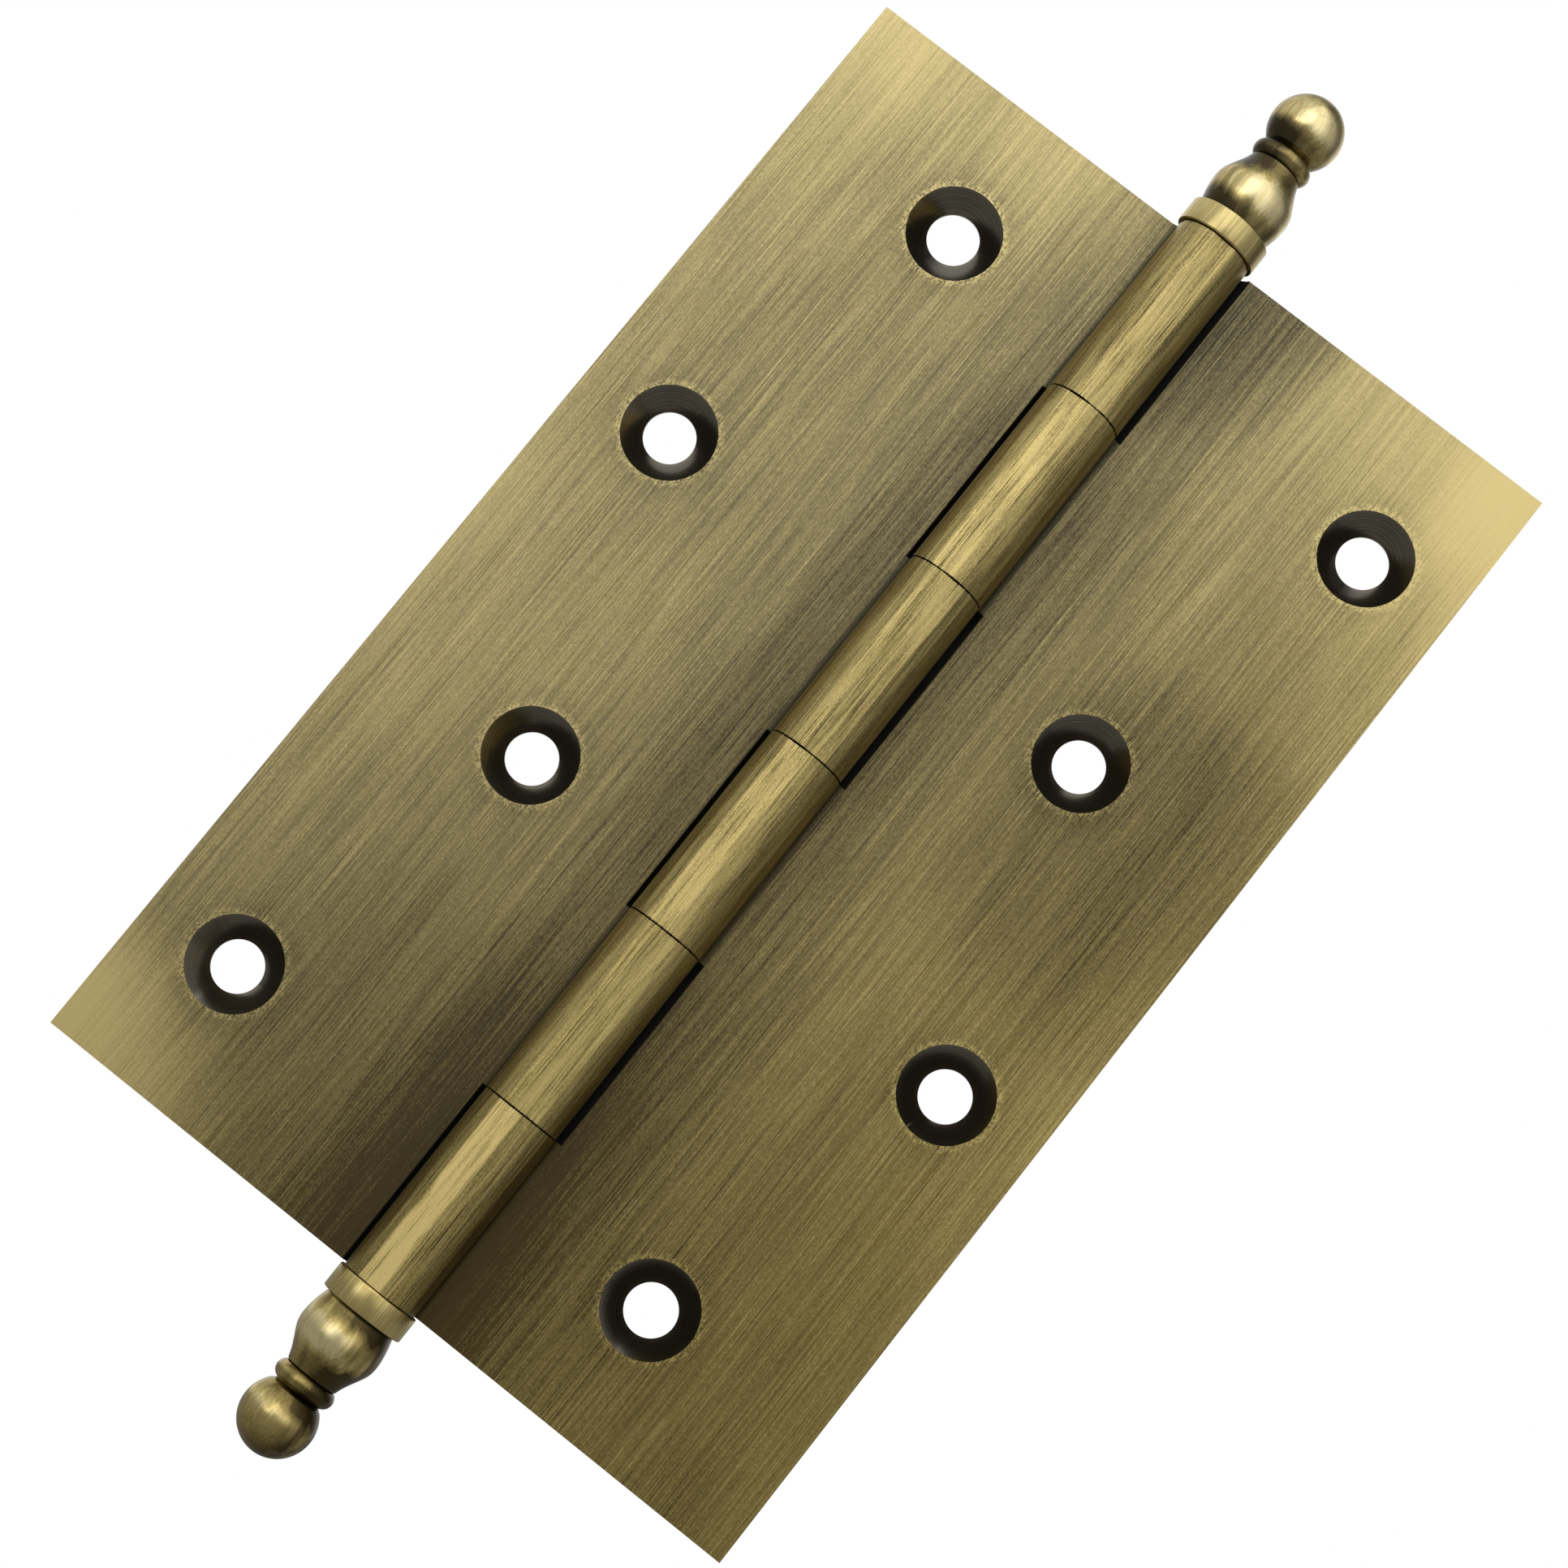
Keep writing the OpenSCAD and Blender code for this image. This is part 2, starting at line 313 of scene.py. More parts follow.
def leaf_brass():
    """Antique brass brushed along the barrel: dark patina, rubbed bright towards the outer edges, with
    painted shade beside the barrel and in the gaps round the knuckles.
    """
    f = Finish("leaf_brass")
    place = f.place()
    x, y, z = f.parts(place)
    clouds = f.grain(place, 5 * MM, 40 * MM, (3.1, 0, 1.7), 1.0)
    bands = f.grain(place, 0.6 * MM, 40 * MM, (5.3, 0, 0), 2.0)
    streaks = f.grain(place, 0.14 * MM, 30 * MM, (7.7, 0, 0), 3.0, 0.6)
    hairs = f.grain(place, 0.07 * MM, 10 * MM, (0, 2.9, 0), 1.0)
    specks = f.grain(place, 0.12 * MM, 0.25 * MM, (0, 0, 9.1), 1.0)
    ragged = x + (f.grain(place, 0.4 * MM, 30 * MM, (9.7, 0, 4.1), 3.0) - 0.5) * 6 * MM
    low = z.ramp(-20 * MM, -64 * MM)

    # where on the hinge: knuckles, the hollows that face them, and the seams between them
    axis_r = f.math("SQRT", x * x + y * y)
    on_barrel = axis_r.ramp(barrel_r + 0.03 * MM, barrel_r + 0.3 * MM, 1.0, 0.0)
    hollow = axis_r.ramp(hollow_r + 0.02 * MM, hollow_r + 0.2 * MM, 1.0, 0.0) * (1 - on_barrel)
    odd = f.math("FLOORED_MODULO", f.math("FLOOR", KNUCKLES / 2 - z / pitch), 2.0)
    on_door = f.math("GREATER_THAN", x, 0.0)
    facing = abs(odd - on_door)             # 0 beside a leaf's own knuckle, 1 beside the other leaf's
    to_seam = f.math("PINGPONG", z, pitch / 2)
    seam = (to_seam + (hairs - 0.5) * 0.15 * MM).ramp(0.05 * MM, 0.14 * MM, 1.0, 0.0) * on_barrel

    # round the screws, on the front only: a rubbed rim in a darker ring
    front = y.ramp(front_y + 0.4 * MM, back_y - 0.4 * MM, 1.0, 0.0)
    from_sink = screw_distance(f, x, z, on_door) - SINK_D / 2
    rim = from_sink.ramp(0.15 * MM, 0.9 * MM, 1.0, 0.0) * front
    ring = from_sink.ramp(0.0, 3 * MM, 1.0, 0.0) * front

    leaf = leaf_wear_and_shade(x, z, ragged, low) + (clouds - 0.5) * 0.20 + (bands - 0.5) * 0.03
    leaf = leaf + rim * specks.ramp(0.40, 0.60) * 0.30 - ring * 0.07
    away = x * (1 - 2 * odd)                # across a knuckle, growing away from its own leaf
    knuckle = knuckle_wear(f, place, degrees_round(f, away, y), low, bands)
    tone = leaf + on_barrel * (knuckle - leaf)
    fine = ((streaks - 0.5) * 0.18 + (hairs - 0.5) + (specks - 0.5) * 0.50) * (1 + on_barrel * 0.6)
    # the last term is painted shade in the hollow at the root of a leaf's own knuckle
    tone = tone + fine * tone.ramp_straight(0.35, 0.95, 1.15, 0.38) - hollow * (1 - facing) * 0.25

    # painted shade: near black in the hollows round the other leaf's knuckles and along the seams
    # between knuckles
    gap_shade = (hollow * facing).most(seam)
    pale = (z - x * 1.5).ramp(-110 * MM, 60 * MM) * (1 - on_barrel * 0.7)
    colour = f.blend(gap_shade, brass_colour(f, tone, pale), GAP_SHADE_BLACK)
    rough = tone.ramp_straight(0.0, 1.0, 0.46, 0.35)
    return f.surface(Base_Color=colour, Metallic=1.0, Roughness=rough + gap_shade * (0.9 - rough),
                     Normal=f.bump(streaks * 0.4 + hairs * 0.6, 0.015 * MM, 0.7))


def finial_brass():
    """Turned brass: patina in the grooves and on one side, rubbed on the high places, with painted shade
    under the bottom ball.
    """
    f = Finish("finial_brass")
    place = f.place()
    x, y, z = f.parts(place)
    streaks = f.grain(place, 0.22 * MM, 6 * MM, (7.7, 0, 0), 2.0)
    hairs = f.grain(place, 0.10 * MM, 3 * MM, (0, 2.9, 0), 1.0)
    clouds = f.grain(place, 1.5 * MM, 4 * MM, (0, 0, 3.3), 2.0)
    stripes = f.grain(place, 1.1 * MM, 18 * MM, (4.4, 0, 1.2), 2.0)
    up = abs(z) - leaf_half + (clouds - 0.5) * 1.6 * MM     # height above the barrel's end
    groove = up.ramp(15.5 * MM, 18.5 * MM, 0.0, 0.4)        # the ball's end keeps some too
    for height, dark, reach in GROOVES:
        groove = groove + abs(up - height * MM).ramp(dark * MM, reach * MM, 1.0, 0.0)
    side = x * f.math("SIGN", z)            # the belt reached the top one's right, the other's left
    missed = side.ramp(-2.0 * MM, 2.5 * MM, 1.0, 0.35) + stripes.ramp(0.40, 0.65, 0.0, 0.25)
    dull = side.ramp(-3.4 * MM, -0.4 * MM, 1.0, 0.0) * stripes.ramp(0.35, 0.60, 0.1, 0.45)
    tone = 1.04 - groove * missed * 1.1 - dull * z.ramp(-60 * MM, 60 * MM, 1.9, 1.0)
    # painted shade on the underside of the bottom finial's ball
    tone = tone - z.ramp(-76 * MM, -81.5 * MM) * 0.45
    axis_r = f.math("SQRT", x * x + y * y)
    on_collar = axis_r.ramp(collar_r - 0.085 * MM, collar_r - 0.025 * MM)
    tone = tone + on_collar * (0.84 - tone)
    tone = tone + (streaks - 0.5) * 0.4 + (hairs - 0.5) * 0.3
    colour = brass_colour(f, tone, z.ramp(-80 * MM, 80 * MM, 0.10, 0.40))
    colour = f.blend(tone.ramp(0.82, 1.12), colour, POLISHED)
    return f.surface(Base_Color=colour, Metallic=1.0,
                     Roughness=tone.ramp_straight(0.0, 1.0, 0.30, 0.25),
                     Normal=f.bump(streaks * 0.6 + hairs * 0.4, 0.008 * MM, 0.5))


def sink_lacquer():
    """Near-black glossy patina left in the countersinks, over fine turning marks."""
    f = Finish("sink_lacquer")
    radius = f.node("ShaderNodeAttribute", {"attribute_name": "from_screw"}, out="Fac")
    turned = f.node("ShaderNodeTexNoise", {"noise_dimensions": "1D"},
                    {"W": radius / (0.12 * MM), "Scale": 1.0, "Detail": 2.0})
    worn = turned.ramp(0.4, 0.75, 0.0, 0.35) + radius.ramp(screw_r, screw_r + 0.5 * MM, 0.3, 0.0)
    return f.surface(Base_Color=f.blend(worn, LACQUER, LACQUER_WORN), Metallic=1.0, Roughness=0.14)


def pin_steel():
    """Drawn steel rod, with marks along it."""
    f = Finish("pin_steel")
    marks = f.grain(f.place(), 0.4 * MM, 12 * MM)
    return f.surface(Base_Color=f.blend(marks, STEEL_DARK, STEEL_LIGHT), Metallic=1.0,
                     Roughness=marks.ramp(0.2, 0.8, 0.25, 0.4))


leaf_finish, finial_finish = leaf_brass(), finial_brass()
sink_finish, pin_finish = sink_lacquer(), pin_steel()


# ------------------------------------------------------------------ shapes from rules

class Shape(Writer):
    """A Geometry Nodes tree with named inputs, run on an outline."""

    KINDS = {float: "NodeSocketFloat", int: "NodeSocketInt", bpy.types.Material: "NodeSocketMaterial"}

    def __init__(self, name, **inputs):
        self.group = bpy.data.node_groups.new(name, "GeometryNodeTree")
        super().__init__(self.group)
        panel = self.group.interface
        panel.new_socket("Geometry", in_out="INPUT", socket_type="NodeSocketGeometry")
        panel.new_socket("Geometry", in_out="OUTPUT", socket_type="NodeSocketGeometry")
        self.sockets = {}
        for key, kind in inputs.items():
            self.sockets[key] = panel.new_socket(key.replace("_", " "), in_out="INPUT",
                                                 socket_type=self.KINDS[kind])
        start = self.tree.nodes.new("NodeGroupInput")
        self.geometry = Level(self, start.outputs[0])
        self.given = {key: Level(self, start.outputs[i + 1]) for i, key in enumerate(inputs)}

    def end(self, geometry, material):
        geometry = self.node("GeometryNodeRealizeInstances", None, {0: geometry})
        geometry = self.node("GeometryNodeSetMaterial", None, {0: geometry, 2: material})
        self.node("NodeGroupOutput", None, {0: geometry})

    def make(self, outline, name, **values):
        """A plain mesh of the tree run on an outline of (radius, z) points."""
        line = bpy.data.meshes.new(name)
        steps = [(i, i + 1) for i in range(len(outline) - 1)]
        line.from_pydata([(r, 0, z) for r, z in outline], steps, [])
        holder = bpy.data.objects.new(name, line)
        bpy.context.scene.collection.objects.link(holder)
        modifier = holder.modifiers.new(name, "NODES")
        modifier.node_group = self.group
        for key, value in values.items():
            modifier[self.sockets[key].identifier] = value
        mesh = evaluated_mesh(holder, name)
        bpy.data.objects.remove(holder)
        mesh.materials.pop(index=0)         # the grid starts with an empty slot
        return mesh


def evaluated_mesh(source, name):
    """The mesh of an object with its modifiers applied."""
    bpy.context.view_layer.update()
    graph = bpy.context.evaluated_depsgraph_get()
    mesh = bpy.data.meshes.new_from_object(source.evaluated_get(graph), depsgraph=graph)
    mesh.name = name
    return mesh


def edit(mesh, *steps):
    """Runs each step on the mesh's vertices, edges and faces."""
    bm = bmesh.new()
    bm.from_mesh(mesh)
    for step in steps:
        step(bm)
    bm.to_mesh(mesh)
    bm.free()


def face_outwards(bm):
    bmesh.ops.recalc_face_normals(bm, faces=bm.faces)


def edge_middle(edge):
    """Middle of an edge, and its distance from the pin's axis."""
    middle = (edge.verts[0].co + edge.verts[1].co) / 2
    return middle, math.hypot(middle.x, middle.y)


def turned_shape():
    """Turns the outline about Z, as a lathe does."""
    s = Shape("turned", Steps_round=int, Material=bpy.types.Material)
    steps = s.given["Steps_round"]
    count = s.node("GeometryNodeAttributeDomainSize", {"component": "MESH"}, {0: s.geometry})
    grid = s.node("GeometryNodeMeshGrid", None, {0: 1.0, 1: 1.0, 2: steps + 1, 3: count})
    index = s.node("GeometryNodeInputIndex")
    along = s.math("FLOORED_MODULO", index, count)
    turn = s.math("FLOOR", index / count) / steps * math.tau
    position = s.node("GeometryNodeInputPosition")
    point = s.node("GeometryNodeSampleIndex", {"data_type": "FLOAT_VECTOR", "domain": "POINT"},
                   {0: s.geometry, 1: position, 2: along})
    radius, _, z = s.parts(point)
    place = s.join(radius * s.math("COSINE", turn), radius * s.math("SINE", turn), z)
    turned = s.node("GeometryNodeSetPosition", None, {0: grid, 2: place})
    closed = s.node("GeometryNodeMergeByDistance", None, {0: turned, 2: 0.0002 * MM})
    s.end(closed, s.given["Material"])
    return s


def cutter_shape(turned):
    """A row of turned cutters down the leaf, set on its inner and outer rows in turn."""
    s = Shape("screw_cutters", Steps_round=int, Screws=int, First_screw=float, Pitch=float,
              Inner_row=float, Outer_row=float, Face=float, Material=bpy.types.Material)
    cutter = s.node("GeometryNodeGroup", {"node_tree": turned.group},
                    {0: s.geometry, 1: s.given["Steps_round"], 2: s.given["Material"]})
    line = s.node("GeometryNodeMeshLine", {"mode": "OFFSET", "count_mode": "TOTAL"},
                  {"Count": s.given["Screws"], "Offset": (0.0, 0.0, 0.0)})
    index = s.node("GeometryNodeInputIndex")
    outer = s.math("FLOORED_MODULO", index, 2)
    x = -s.given["Inner_row"] - outer * (s.given["Outer_row"] - s.given["Inner_row"])
    place = s.join(x, s.given["Face"], s.given["First_screw"] - index * s.given["Pitch"])
    points = s.node("GeometryNodeSetPosition", None, {0: line, 2: place})
    turn = s.node("FunctionNodeEulerToRotation", None, {0: (-math.pi / 2, 0.0, 0.0)})
    row = s.node("GeometryNodeInstanceOnPoints", None,
                 {"Points": points, "Instance": cutter, "Rotation": turn})
    s.end(row, s.given["Material"])
    return s


def piece(name, mesh, body, node):
    """A finished piece of one body, shown instead of a node of the frame."""
    made = bpy.data.objects.new(name, mesh)
    bpy.context.scene.collection.objects.link(made)
    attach(made, body)
    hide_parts(node)


turned = turned_shape()
cutters = cutter_shape(turned)


# ------------------------------------------------------------------ leaves

ARC_STEP = math.radians(3)
FILLET_STEPS = 6
HOLLOW_STEPS = 10


def knuckle_radius(angle):
    """Radius of the knuckle's outline at an angle from the front, growing away from its own leaf."""
    for start, end in zip(FLATS, FLATS[1:]):
        if start <= math.degrees(angle) < end:
            half = math.radians(end - start) / 2
            middle = math.radians(end + start) / 2
            flat = math.cos(half) / math.cos(angle - middle)
            depth = 1.0 if (start, end) == WIDE_FLAT else NARROW_DEPTH
            return barrel_r * (1 - depth + depth * flat)
    return barrel_r


def polar(angle, radius):
    """Point at an angle from the front (-Y), growing towards the other leaf (+X)."""
    return Vector((radius * math.sin(angle), -radius * math.cos(angle)))


def arc_angles(a0, a1):
    """Angles from a0 to a1, with one wherever two flats meet."""
    stops = [a0] + [math.radians(a) for a in FLATS if a0 < math.radians(a) < a1] + [a1]
    angles = [a0]
    for start, end in zip(stops, stops[1:]):
        steps = max(1, round((end - start) / ARC_STEP))
        angles += [start + (end - start) * (i + 1) / steps for i in range(steps)]
    return angles


class LeafOutline:
    """Points round a knuckle of the leaf that lies towards -X, in order of angle from the front."""

    def __init__(self):
        y = front_y - ROOT_FILLET
        centre = Vector((-math.sqrt((barrel_r + ROOT_FILLET) ** 2 - y * y), y))
        tangent = math.atan2(centre.x, -centre.y)
        into_back = math.pi - math.acos(back_y / barrel_r)
        self.barrel = [polar(a, knuckle_radius(a)) for a in arc_angles(tangent, into_back)]

        start = math.atan2(-centre.y, -centre.x)
        sweep = math.pi / 2 - start
        turns = [start + sweep * i / FILLET_STEPS for i in range(1, FILLET_STEPS + 1)]
        self.fillet = [centre + ROOT_FILLET * Vector((math.cos(a), math.sin(a))) for a in turns]

        x_front = -math.sqrt(hollow_r ** 2 - front_y ** 2)
        x_back = -math.sqrt(hollow_r ** 2 - back_y ** 2)
        start = math.atan2(front_y, x_front)
        sweep = math.atan2(back_y, x_back) - start
        turns = [start + sweep * i / HOLLOW_STEPS for i in range(HOLLOW_STEPS + 1)]
        self.hollow = [hollow_r * Vector((math.cos(a), math.sin(a))) for a in turns]

        into_hollow = math.tau + math.atan2(x_back, -back_y)
        self.back = [polar(a, -back_y / math.cos(a)) for a in arc_angles(into_back, into_hollow)[1:-1]]


def leaf_solid():
    """The frame leaf before its screw holes: a plate, with knuckles 0, 2 and 4."""
    outline = LeafOutline()
    bm = bmesh.new()
    known = {}

    def row(points, z):
        """Vertices of a row of points at one height, made once."""
        made = []
        for p in points:
            key = (round(p.x, 7), round(p.y, 7), round(z, 7))
            if key not in known:
                known[key] = bm.verts.new((p.x, p.y, z))
            made.append(known[key])
        return made

    def wall(points, z0, z1):
        low, high = row(points, z0), row(points, z1)
        for i in range(len(points) - 1):
            bm.faces.new((low[i], low[i + 1], high[i + 1], high[i]))

    def cap(outer, z):
        """Ring of a knuckle's end, from its outline to its bore."""
        inner = [p.normalized() * bore_r for p in outer]
        a, b = row(outer, z), row(inner, z)
        for i in range(len(outer)):
            j = (i + 1) % len(outer)
            bm.faces.new((a[i], a[j], b[j], b[i]))

    corner_front = Vector((-leaf_edge, front_y))
    corner_back = Vector((-leaf_edge, back_y))
    root = outline.fillet[-1]               # where the fillet meets the leaf's face
    mouth, tail = outline.hollow[0], outline.hollow[-1]
    plate_end = [corner_front, root] + outline.hollow + [corner_back]
    round_knuckle = outline.fillet[::-1] + outline.barrel + outline.back
    ring = round_knuckle + outline.hollow[::-1]

    for k in range(KNUCKLES):
        foot, top = knuckle_ends(k)
        own = k % 2 == 0
        if not own:                         # the hollow runs on to the neighbours' ends, or the leaf's
            foot = max(-leaf_half, foot - KNUCKLE_GAP) if k < KNUCKLES - 1 else -leaf_half
            top = top + KNUCKLE_GAP
        if own:
            wall([corner_front] + round_knuckle + [tail, corner_back], foot, top)
            wall([p.normalized() * bore_r for p in ring + ring[:1]], foot, top)
            cap(ring, foot)
            cap(ring, top)
        else:
            wall([corner_front, root, mouth], foot, top)
            wall(outline.hollow, foot, top)
            wall([tail, corner_back], foot, top)
        wall([corner_back, corner_front], foot, top)
    for z in (-leaf_half, leaf_half):
        bm.faces.new(row(plate_end, z))
    face_outwards(bm)
    return bm


def screw_cutters():
    """Cutters for one leaf's screw holes and their 90 degree countersinks."""
    past = 1 * MM                           # how far a cutter reaches past the leaf's faces
    sink_r = SINK_D / 2
    outline = [(0, -past), (sink_r + past, -past), (screw_r, sink_r - screw_r),
               (screw_r, leaf_t + past), (0, leaf_t + past)]
    return cutters.make(outline, "screw_cutters", Steps_round=ROUND_STEPS, Screws=SCREWS,
                        First_screw=first_screw_z, Pitch=screw_pitch, Inner_row=inner_row,
                        Outer_row=outer_row, Face=front_y, Material=sink_finish)


def corner_rounding(bm):
    """Marks how far each corner is rounded: the leaf's outer edges most, seams and countersinks less."""
    bmesh.ops.dissolve_degenerate(bm, dist=0.0001 * MM, edges=bm.edges)
    weight = bm.edges.layers.float.new("bevel_weight_edge")
    for edge in bm.edges:
        if len(edge.link_faces) != 2 or not edge.is_convex or edge.calc_face_angle(0) < math.radians(40):
            continue
        middle, off_axis = edge_middle(edge)
        if off_axis < bore_r + 0.1 * MM:
            continue
        at_side = middle.x < -leaf_edge + SAME
        at_end = abs(abs(middle.z) - leaf_half) < SAME and middle.x < -hollow_r
        edge[weight] = 1.0 if at_side or at_end else INNER_ROUND


def sharp_corners(bm):
    """Keeps real corners crisp, and the long sides of the flats on the knuckles."""
    for face in bm.faces:
        face.smooth = True
    for edge in bm.edges:
        along = abs((edge.verts[1].co - edge.verts[0].co).normalized().z) > 0.99
        on_barrel = bore_r < edge_middle(edge)[1] < barrel_r + SAME
        limit = 12 if along and on_barrel else 50
        edge.smooth = edge.calc_face_angle(0) < math.radians(limit)


def modified(made, name):
    """Gives an object the mesh that its modifiers make, and takes them away."""
    mesh = evaluated_mesh(made, name)
    made.modifiers.clear()
    made.data = mesh
    return mesh


def leaf_mesh():
    """The frame leaf: its solid with the screw holes cut, its edges worn round."""
    mesh = bpy.data.meshes.new("leaf_plate")
    bm = leaf_solid()
    bm.to_mesh(mesh)
    bm.free()
    mesh.materials.append(leaf_finish)
    leaf = bpy.data.objects.new("leaf_plate", mesh)
    cutter = bpy.data.objects.new("cutter", screw_cutters())
    for made in (leaf, cutter):
        bpy.context.scene.collection.objects.link(made)

    holes = leaf.modifiers.new("screw_holes", "BOOLEAN")
    holes.operation = "DIFFERENCE"
    holes.solver = "EXACT"
    holes.material_mode = "TRANSFER"
    holes.object = cutter
    edit(modified(leaf, "leaf_cut"), corner_rounding)

    rounding = leaf.modifiers.new("rounding", "BEVEL")
    rounding.limit_method = "WEIGHT"
    rounding.width = EDGE_ROUND
    rounding.segments = 2
    rounding.use_clamp_overlap = True
    edit(modified(leaf, "leaf_rounded"), sharp_corners)

    leaf.modifiers.new("shading", "WEIGHTED_NORMAL").keep_sharp = True
    mesh = modified(leaf, "frame_leaf_brushed")
    from_screw = mesh.attributes.new("from_screw", "FLOAT", "POINT")
    rows = [outer_row if i % 2 else inner_row for i in range(SCREWS)]
    for vertex, value in zip(mesh.vertices, from_screw.data):
        value.value = min(math.hypot(vertex.co.x + row, vertex.co.z - first_screw_z + i * screw_pitch)
                          for i, row in enumerate(rows))
    bpy.data.objects.remove(leaf)
    bpy.data.objects.remove(cutter)
    return mesh


frame_mesh = leaf_mesh()
door_mesh = frame_mesh.copy()
door_mesh.name = "door_leaf_brushed"
door_mesh.transform(Matrix.Rotation(math.pi, 4, "Y"))
piece("frame_leaf_brushed", frame_mesh, "frame_leaf", "frame_leaf")
piece("door_leaf_brushed", door_mesh, "door_leaf", "door_leaf")


# ------------------------------------------------------------------ finials

# radii and heights of a finial, in mm from the pin's axis and the barrel's end
STUD_R, STUD_TIP_R, STUD_LENGTH, CHAMFER = 1.45, 1.2, 8, 0.3
COLLAR_FOOT, COLLAR_TOP, COLLAR_EDGE = 0.1, 2.7, 0.15
VASE_FOOT_R, VASE_SWELL, VASE_Z, VASE_R = 3.75, 0.55, 5.858, 3
NECK_R, NECK_HOLLOW = 2.75, 0.16
BEAD_R, BEAD_AXIS_R, BEAD_Z = 1.0, 2.2, 10.865
BALL_R, BALL_Z = 3.8, 14.73


def arc(cr, cz, radius, a0, a1, steps):
    """Points of an arc about (cr, cz); angles in degrees from straight out, growing upwards."""
    turns = [math.radians(a0 + (a1 - a0) * i / steps) for i in range(steps + 1)]
    return [(cr + radius * math.cos(a), cz + radius * math.sin(a)) for a in turns]


def finial_outline():
    """Half outline from the barrel's end: stud, collar, foot, vase, neck, bead, groove, ball."""
    collar = collar_r / MM
    line = [(0, -STUD_LENGTH), (STUD_TIP_R, -STUD_LENGTH), (STUD_R, CHAMFER - STUD_LENGTH),
            (STUD_R, COLLAR_FOOT), (collar - CHAMFER, COLLAR_FOOT)]
    line += arc(collar - COLLAR_EDGE, COLLAR_FOOT + COLLAR_EDGE, COLLAR_EDGE, -90, 0, 3)
    line += arc(collar - COLLAR_EDGE, COLLAR_TOP - COLLAR_EDGE, COLLAR_EDGE, 0, 90, 3)
    line += [(3.7, COLLAR_TOP - 0.08)]      # a small step down round the vase's foot
    for i in range(1, 13):                  # swells out of the collar
        t = i / 12
        line.append((VASE_FOOT_R + VASE_SWELL * math.sin(t * math.pi / 2),
                     COLLAR_TOP + (VASE_Z - COLLAR_TOP) * t))
    line += arc(VASE_FOOT_R + VASE_SWELL - VASE_R, VASE_Z, VASE_R, 3, 24, 7)
    shoulder_r, shoulder_z = line[-1]
    neck_z = BEAD_Z - BEAD_R
    for i in range(1, 9):                   # draws in, a little hollow, to the neck
        t = i / 8
        line.append((shoulder_r + (NECK_R - shoulder_r) * t - NECK_HOLLOW * math.sin(t * math.pi) * t,
                     shoulder_z + (neck_z - shoulder_z) * t))
    line += arc(BEAD_AXIS_R, BEAD_Z, BEAD_R, -80, 80, 12)
    line += [(NECK_R, BEAD_Z + BEAD_R + 0.3)]
    line += arc(0, BALL_Z, BALL_R, -42.5, 90, 34)
    line[-1] = (0, BALL_Z + BALL_R)
    return [(r * MM, z * MM) for r, z in line]


def turned_corners(bm):
    """Smooth but for the corners that the tool left."""
    for face in bm.faces:
        face.smooth = True
    for edge in bm.edges:
        edge.smooth = edge.calc_face_angle(0) < math.radians(32)


def finial(name, node, turn):
    mesh = turned.make(finial_outline(), name, Steps_round=ROUND_STEPS, Material=finial_finish)
    mesh.transform(Matrix.Rotation(turn, 4, "X") @ Matrix.Translation((0, 0, leaf_half)))
    edit(mesh, face_outwards, turned_corners)
    piece(name, mesh, "pin_and_finials", node)


finial("top_finial_turned", "top_finial", 0.0)
finial("bottom_finial_turned", "bottom_finial", math.pi)
frame["nodes"]["hinge_pin"].material_slots[0].material = pin_finish


# ------------------------------------------------------------------ light, floor and camera

WHITE = rgb(1.0, 1.0, 1.0)
PALE = rgb(0.45, 0.45, 0.45)


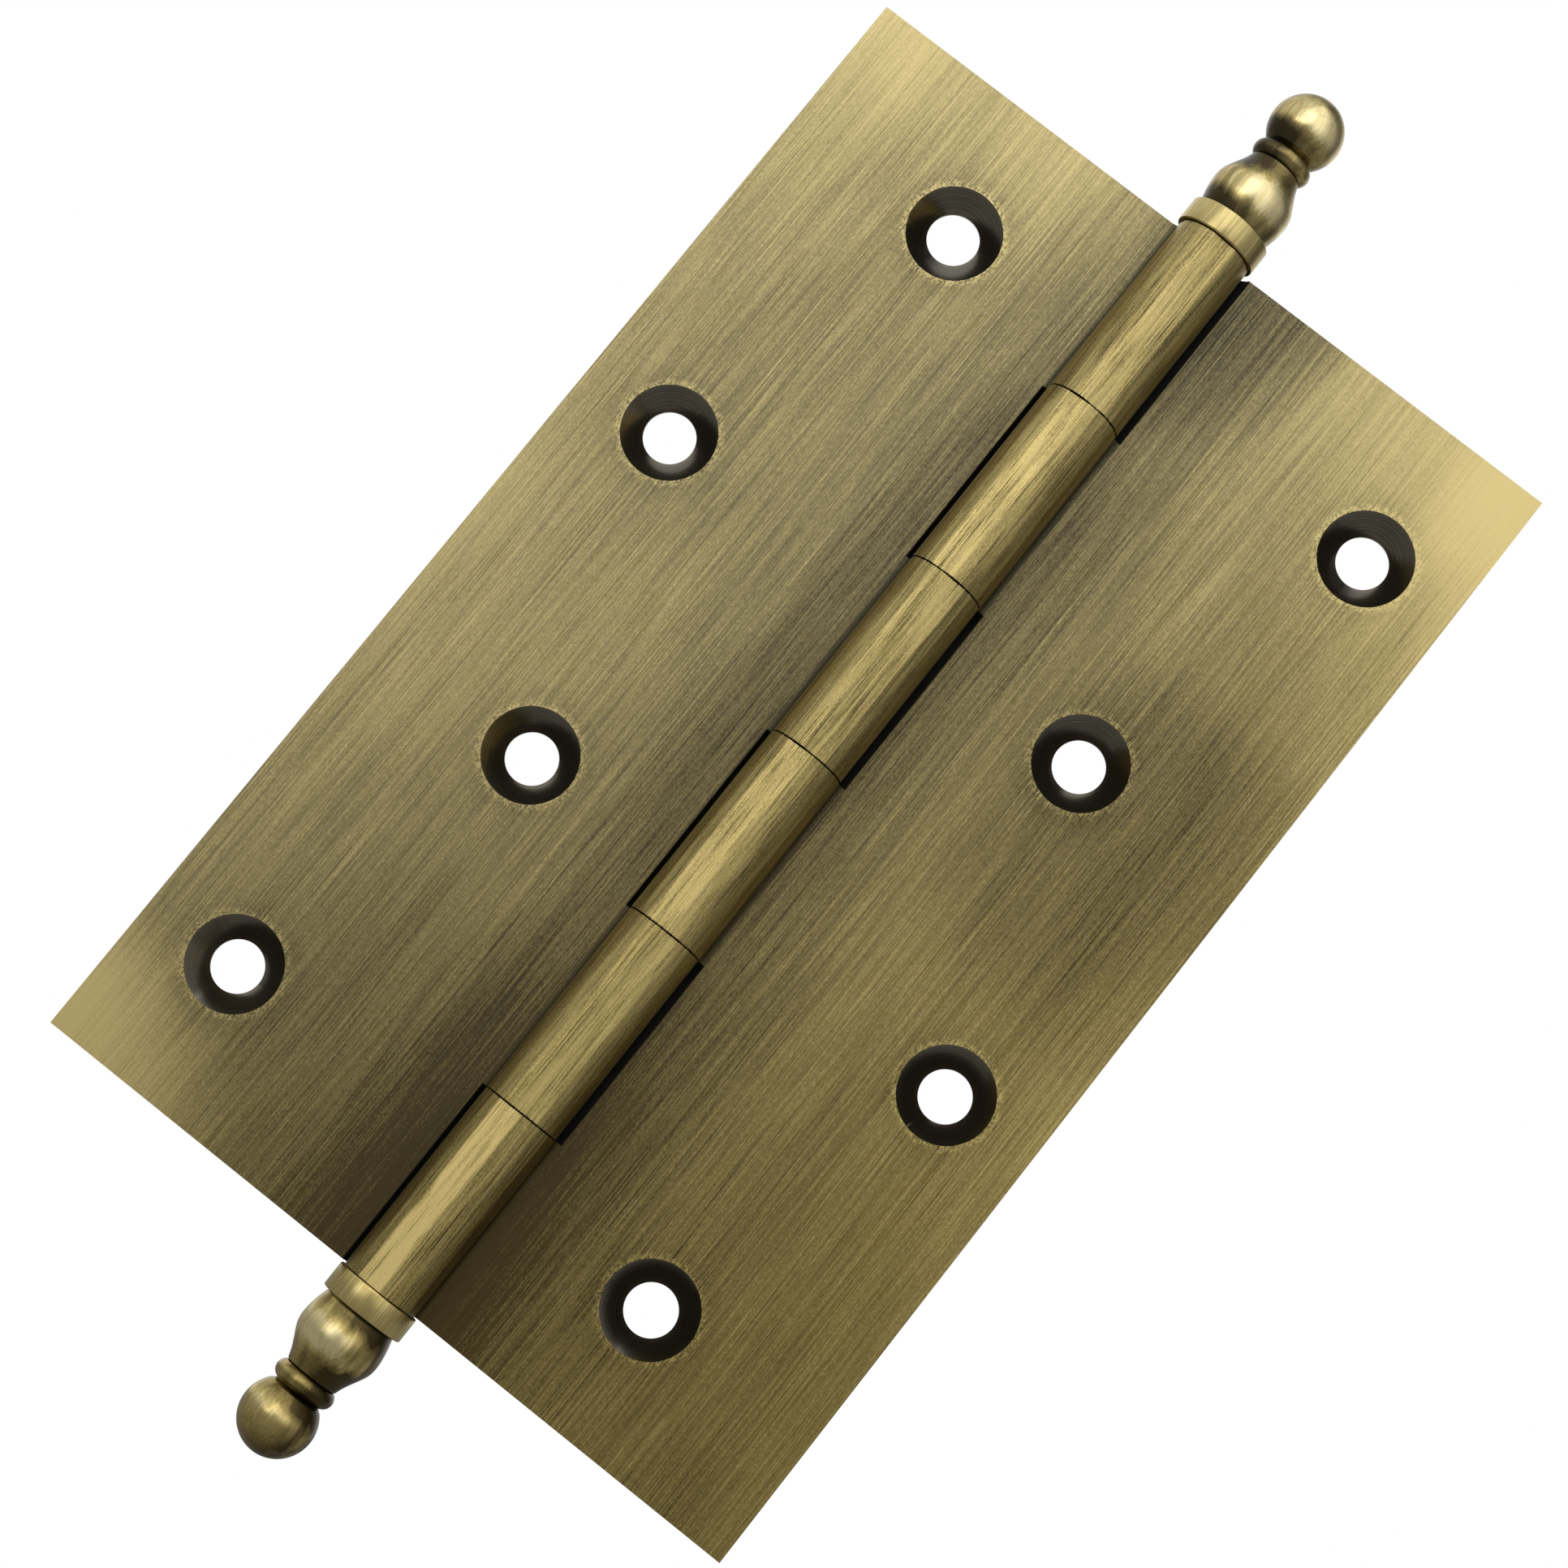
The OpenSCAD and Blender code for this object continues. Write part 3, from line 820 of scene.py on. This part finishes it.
def studio_world():
    """Soft daylight from the front and the left, higher up the brighter, and a pale wall behind."""
    world = bpy.data.worlds.new("studio")
    bpy.context.scene.world = world
    world.use_nodes = True
    w = Writer(world.node_tree)
    x, y, z = w.parts(w.node("ShaderNodeTexCoord", out="Generated"))
    across = degrees_round(w, x, y)
    left = across.ramp(-55, -20, 0.66, 1.0) * across.ramp(-165, -125, 0.35, 1.0)
    right = across.ramp(25, 68, 1.0, 0.36) * across.ramp(75, 115, 1.0, 0.25)
    height = z.ramp(-0.06, 0.36, 0.80, 1.32)
    below = z.ramp(-0.45, -0.08, 0.55, 1.0)
    camera_side = (-y).ramp(math.cos(math.radians(15)), math.cos(math.radians(3)), 1.0, 0.35)
    low_strip = across.ramp(-54, -38) * z.ramp(-0.02, 0.20, 2.1, 0.0) * across.ramp(-28, -14, 1.0, 0.0)
    wall = y.ramp(0.45, 0.95, 0.0, 0.75)
    level = (left * right * height * camera_side + low_strip) * below + wall
    sky = w.node("ShaderNodeBackground", None, {0: WHITE, 1: level})
    plain = w.node("ShaderNodeBackground", None, {0: WHITE, 1: 1.0})
    w.node("ShaderNodeOutputWorld", None, {0: seen_as(w, sky, plain)})


def seen_as(w, lights, seen):
    """Lights the object with one shader, and shows the camera the other."""
    by_camera = w.node("ShaderNodeLightPath", out="Is Camera Ray")
    return w.node("ShaderNodeMixShader", None, {0: by_camera, 1: lights, 2: seen})


def window(name, place, target, width, height, watts):
    light = bpy.data.lights.new(name, "AREA")
    light.shape = "RECTANGLE"
    light.size = width
    light.size_y = height
    light.energy = watts
    made = bpy.data.objects.new(name, light)
    bpy.context.scene.collection.objects.link(made)
    made.location = place
    made.rotation_euler = (Vector(target) - Vector(place)).to_track_quat("-Z", "Y").to_euler()


def floor():
    f = Finish("floor")
    pale = f.node("ShaderNodeBsdfDiffuse", None, {0: PALE})
    white = f.node("ShaderNodeEmission", None, {0: WHITE, 1: 1.0})
    f.end(seen_as(f, pale, white))
    mesh = bpy.data.meshes.new("floor")
    under = Matrix.Translation((0, 0, cad_box[0][2] - 2 * MM))
    edit(mesh, lambda bm: bmesh.ops.create_grid(bm, x_segments=1, y_segments=1, size=3.0, matrix=under))
    mesh.materials.append(f.material)
    made = bpy.data.objects.new("floor", mesh)
    bpy.context.scene.collection.objects.link(made)


def camera():
    """In front and a little below, turned so that the hinge lies across the frame."""
    place = Vector((0.0285, -0.3328, -0.0444))
    view = Vector((-0.0848, 0.9889, 0.1221))
    right = Vector((0.7845, -0.0093, 0.6201))
    up = Vector((-0.6143, -0.1483, 0.775))
    data = bpy.data.cameras.new("camera")
    data.lens = 81.94
    data.sensor_width = 36.0
    data.clip_start = 0.01
    made = bpy.data.objects.new("camera", data)
    bpy.context.scene.collection.objects.link(made)
    turn = Matrix((right, up, -view)).transposed().to_quaternion().to_matrix().to_4x4()
    made.matrix_world = Matrix.Translation(place) @ turn
    bpy.context.scene.camera = made


studio_world()
window("window_light", (-0.22, -0.60, 0.35), (0, 0, 0), 0.45, 0.55, 0.45)
floor()
camera()
bpy.context.scene.view_settings.view_transform = "Standard"
